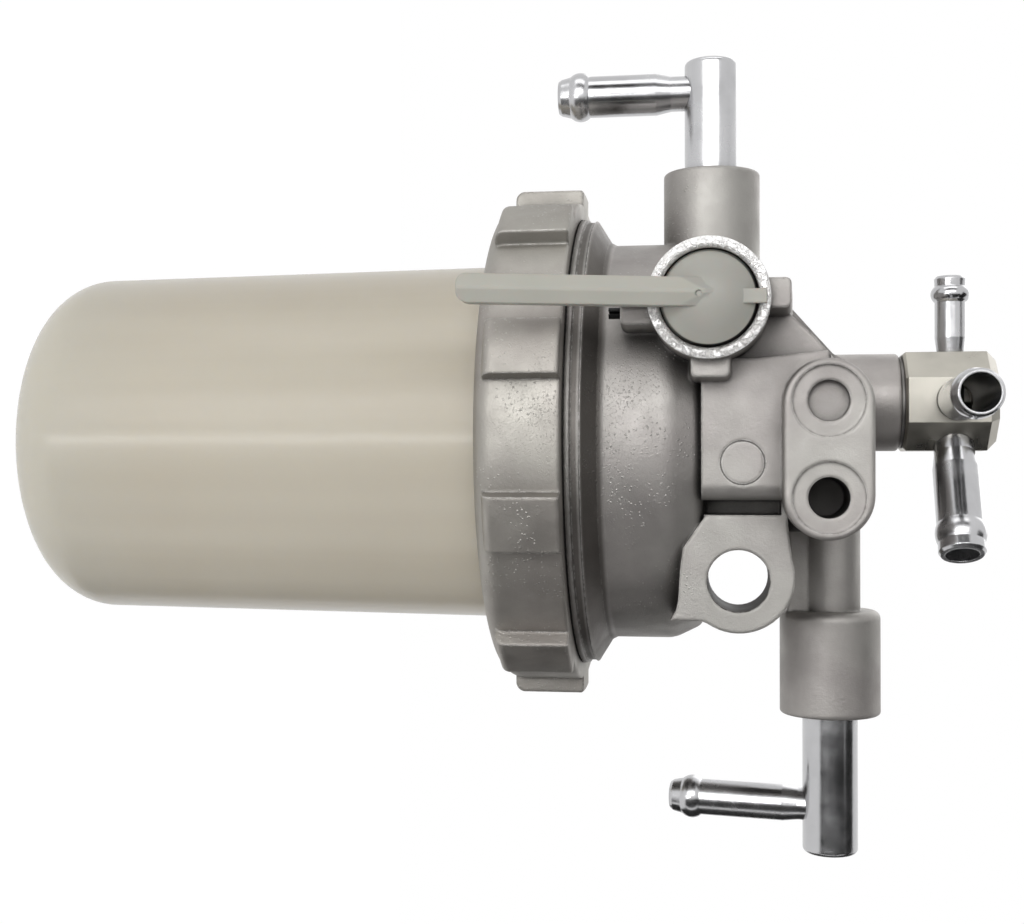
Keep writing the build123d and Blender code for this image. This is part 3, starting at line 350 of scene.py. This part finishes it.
CAST_HEAD = cast("cast_head", (0.41, 0.388, 0.372), (0.33, 0.312, 0.30), 0.55, machined=True)
CAST_RING = cast("cast_ring", (0.40, 0.375, 0.35), (0.31, 0.29, 0.27), 0.42)
PLATED = plated("plated_steel", (0.555, 0.555, 0.565), 0.19)
JOINT = plated("joint_metal", (0.475, 0.455, 0.405), 0.30)
LEVER = moulded_lever()
RUBBER = plastic("seal_rubber", (0.025, 0.025, 0.025), (0.015, 0.015, 0.015), 0.6, grain=0.3)
ROTOR = plastic("rotor_plastic", (0.05, 0.05, 0.05), (0.035, 0.035, 0.035), 0.4)
PIN = plated("pin_black", (0.03, 0.03, 0.03), 0.4)
WASHER = plated("washer_metal", (0.26, 0.25, 0.24), 0.45)
TINNED = plated("element_cap", (0.68, 0.67, 0.64), 0.32)
WIRE = plated("spring_wire", (0.5, 0.5, 0.5), 0.28)
BOWL = milky()
PAPER = paper()

LOOKS = {
    "head_casting": CAST_HEAD, "ring_nut": CAST_RING, "bowl": BOWL, "bowl_gasket": RUBBER,
    "element_top_cap": TINNED, "element_bottom_cap": TINNED, "element_media": PAPER, "element_core": TINNED,
    "element_grommet": RUBBER, "element_spring": WIRE, "cock_rotor": ROTOR, "rotor_seals": RUBBER,
    "cock_lever": LEVER, "lever_seal": RUBBER, "cock_retaining_pin": PIN, "inlet_stem": PLATED,
    "inlet_nipple": PLATED, "outlet_stem": PLATED, "outlet_nipple": PLATED, "joint_block": JOINT,
    "joint_washer": WASHER, "joint_front_nipple": PLATED, "joint_small_nipple": PLATED,
    "joint_lower_nipple": PLATED,
}
for node, look in LOOKS.items():
    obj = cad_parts[node]
    obj.data.materials.clear()
    obj.data.materials.append(look)


def mesh_object(name, verts, faces, material):
    mesh = bpy.data.meshes.new(name)
    mesh.from_pydata(verts, [], faces)
    mesh.update()
    mesh.materials.append(material)
    obj = bpy.data.objects.new(name, mesh)
    bpy.context.scene.collection.objects.link(obj)
    return obj


def rectangle(name, width, height, z, material):
    w, h = width / 2, height / 2
    return mesh_object(name, [(-w, -h, z), (w, -h, z), (w, h, z), (-w, h, z)], [(0, 1, 2, 3)], material)


def ridge(name, turns, pitch, bottom, root, crest, material, steps=96):
    """Helical thread ridge around the bowl's axis, closed at both ends and faded out there."""
    section = ((root, -0.42), (crest, -0.14), (crest, 0.14), (root, 0.42))    # radius, height in pitches
    corners, fade_steps = len(section), 10
    verts, faces = [], []
    count = int(turns * steps)
    for i in range(count + 1):
        a = 2 * math.pi * i / steps
        fade = min(1.0, i / fade_steps, (count - i) / fade_steps)
        for r, h in section:
            radius = root + (r - root) * fade
            verts.append((AXIS_X + radius * math.cos(a), AXIS_Y + radius * math.sin(a),
                          bottom + pitch * (i / steps + h)))
    for i in range(count):
        for k in range(corners):
            a, b = corners * i + k, corners * i + (k + 1) % corners
            faces.append((a, b, b + corners, a + corners))
    faces += [tuple(reversed(range(corners))), tuple(corners * count + k for k in range(corners))]
    return mesh_object(name, verts, faces, material)


def corner_strip(name, x0, x1, floor_y, bottom, top, material, steps=8):
    """Rounded corner of the casting at the end of a groove, sunk 1.5 mm behind the groove's floor."""
    r = top - bottom
    back_y = floor_y + 0.0015
    section = [(back_y, bottom), (back_y, top)]
    for i in range(steps + 1):
        a = math.pi / 2 * i / steps
        section.append((floor_y - r + r * math.cos(a), top - r * math.sin(a)))
    verts = [(x, y, z) for x in (x0, x1) for y, z in section]
    n = len(section)
    faces = [(i, (i + 1) % n, n + (i + 1) % n, n + i) for i in range(n)]
    faces += [tuple(reversed(range(n))), tuple(range(n, 2 * n))]
    return mesh_object(name, verts, faces, material)


thread = ridge("head_thread", turns=1.6, pitch=0.003, bottom=-0.0373, root=0.04186, crest=0.04278,
               material=CAST_HEAD)
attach(thread, "head")

strip = corner_strip("groove_corner", x0=-0.0143, x1=-0.0115, floor_y=-0.0100, bottom=-0.0063, top=-0.0058,
                     material=CAST_HEAD)
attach(strip, "head")

# World: white for camera, glossy and transmission rays, dimmer for the light that falls on the object
world = bpy.data.worlds.new("studio")
bpy.context.scene.world = world
world.use_nodes = True
g = Graph(world.node_tree)
plain = world.node_tree.nodes["Background"]
plain.inputs["Color"].default_value = (1, 0.99, 0.98, 1)
plain.inputs["Strength"].default_value = 0.34
white = g.new("ShaderNodeBackground")
white.inputs["Color"].default_value = (1, 1, 1, 1)
white.inputs["Strength"].default_value = 1.0
rays = g.new("ShaderNodeLightPath").outputs
seen = g.math("MAXIMUM", rays["Is Camera Ray"], rays["Is Glossy Ray"])
sky = g.new("ShaderNodeMixShader")
g.link(g.math("MAXIMUM", seen, rays["Is Transmission Ray"]), sky.inputs[0])
g.link(plain.outputs[0], sky.inputs[1])
g.link(white.outputs[0], sky.inputs[2])
g.link(sky.outputs[0], world.node_tree.nodes["World Output"].inputs[0])

# Floor: near-white where it is seen or mirrored, with the object's shadow left in a tenth of it
floor_mat, floor_tree, floor_shader = principled("floor_pale", (0.86, 0.86, 0.86), 0.0, 0.9)
g = Graph(floor_tree)
glow = g.new("ShaderNodeEmission")
glow.inputs["Strength"].default_value = 1.08
rays = g.new("ShaderNodeLightPath").outputs
seen = g.math("MAXIMUM", rays["Is Camera Ray"], rays["Is Glossy Ray"])
pale = g.new("ShaderNodeMixShader")
g.link(g.times(seen, 0.9), pale.inputs[0])
g.link(floor_shader.outputs[0], pale.inputs[1])
g.link(glow.outputs[0], pale.inputs[2])
g.link(pale.outputs[0], floor_tree.nodes["Material Output"].inputs[0])
floor = rectangle("floor", FLOOR_SIZE, FLOOR_SIZE, FLOOR_Z, floor_mat)

MIDDLE = (-0.02, 0.0, -0.05)


def point_at(obj, place, aim):
    obj.location = place
    obj.rotation_euler = (Vector(aim) - Vector(place)).to_track_quat("-Z", "Y").to_euler()


def soft_box(name, place, aim, size, watts):
    data = bpy.data.lights.new(name, "AREA")
    data.shape = "RECTANGLE"
    data.size, data.size_y = size
    data.energy = watts
    lamp = bpy.data.objects.new(name, data)
    point_at(lamp, place, aim)
    lamp.visible_camera = False
    bpy.context.scene.collection.objects.link(lamp)


def flag(name, place, aim, size):
    """Dark card that shows only in reflections, as beside a product on a light table."""
    dark, _, _ = principled(name, (0.02, 0.02, 0.02), 0.0, 0.9)
    card = rectangle(name, *size, 0, dark)
    point_at(card, place, aim)
    card.visible_camera = False
    card.visible_diffuse = False
    card.visible_shadow = False
    card.visible_transmission = False


soft_box("key", place=(-0.36, -0.82, -0.05), aim=MIDDLE, size=(0.30, 1.0), watts=3.6)
soft_box("strip", place=(-0.041, -0.883, -0.46), aim=(AXIS_X, AXIS_Y, -0.46), size=(0.06, 0.68), watts=1.9)
soft_box("fill", place=(0.62, -0.76, -0.05), aim=MIDDLE, size=(0.6, 1.0), watts=2.2)
soft_box("side", place=(-0.85, -0.25, 0.0), aim=MIDDLE, size=(0.30, 0.9), watts=1.3)
soft_box("back", place=(-0.4, 0.8, 0.4), aim=MIDDLE, size=(0.8, 0.8), watts=2.0)

flag("flag_front", place=(0.40, -0.66, -0.05), aim=MIDDLE, size=(0.66, 2.6))
flag("flag_low", place=(0.85, 0.20, -0.05), aim=MIDDLE, size=(1.1, 2.6))
flag("flag_above", place=(0.30, -0.15, 0.95), aim=MIDDLE, size=(0.7, 1.0))
flag("flag_near", place=(0.30, -0.36, 0.0), aim=(0.05, 0.017, 0.0), size=(0.36, 0.8))
flag("flag_inlet", place=(-0.42, -0.30, 0.05), aim=(-0.09, 0.017, 0.0), size=(0.16, 0.5))

# Camera of the photograph: square to the bowl's axis, rolled a quarter turn, the bowl's end farther off
FOCAL_PX, IMAGE_WIDTH_PX, SENSOR_MM = 1450.0, 1024, 36.0
DISTANCE, YAW = 0.290, math.radians(8.43)
TILT_PX = -13    # how far below the picture's middle the level line lies
place = Vector((AXIS_X + 0.0067, AXIS_Y - DISTANCE, -0.002))
right = Vector((0, math.sin(YAW), math.cos(YAW)))
ahead = Vector((TILT_PX / FOCAL_PX, math.cos(YAW), -math.sin(YAW))).normalized()
up = right.cross(ahead).normalized()
camera_data = bpy.data.cameras.new("camera")
camera_data.sensor_width = SENSOR_MM
camera_data.lens = FOCAL_PX / IMAGE_WIDTH_PX * SENSOR_MM
camera_data.clip_start = 0.01
camera = bpy.data.objects.new("camera", camera_data)
camera.matrix_world = Matrix((
    (right.x, up.x, -ahead.x, place.x), (right.y, up.y, -ahead.y, place.y),
    (right.z, up.z, -ahead.z, place.z), (0, 0, 0, 1)))
bpy.context.scene.collection.objects.link(camera)
bpy.context.scene.camera = camera
bpy.context.scene.view_settings.view_transform = "Standard"
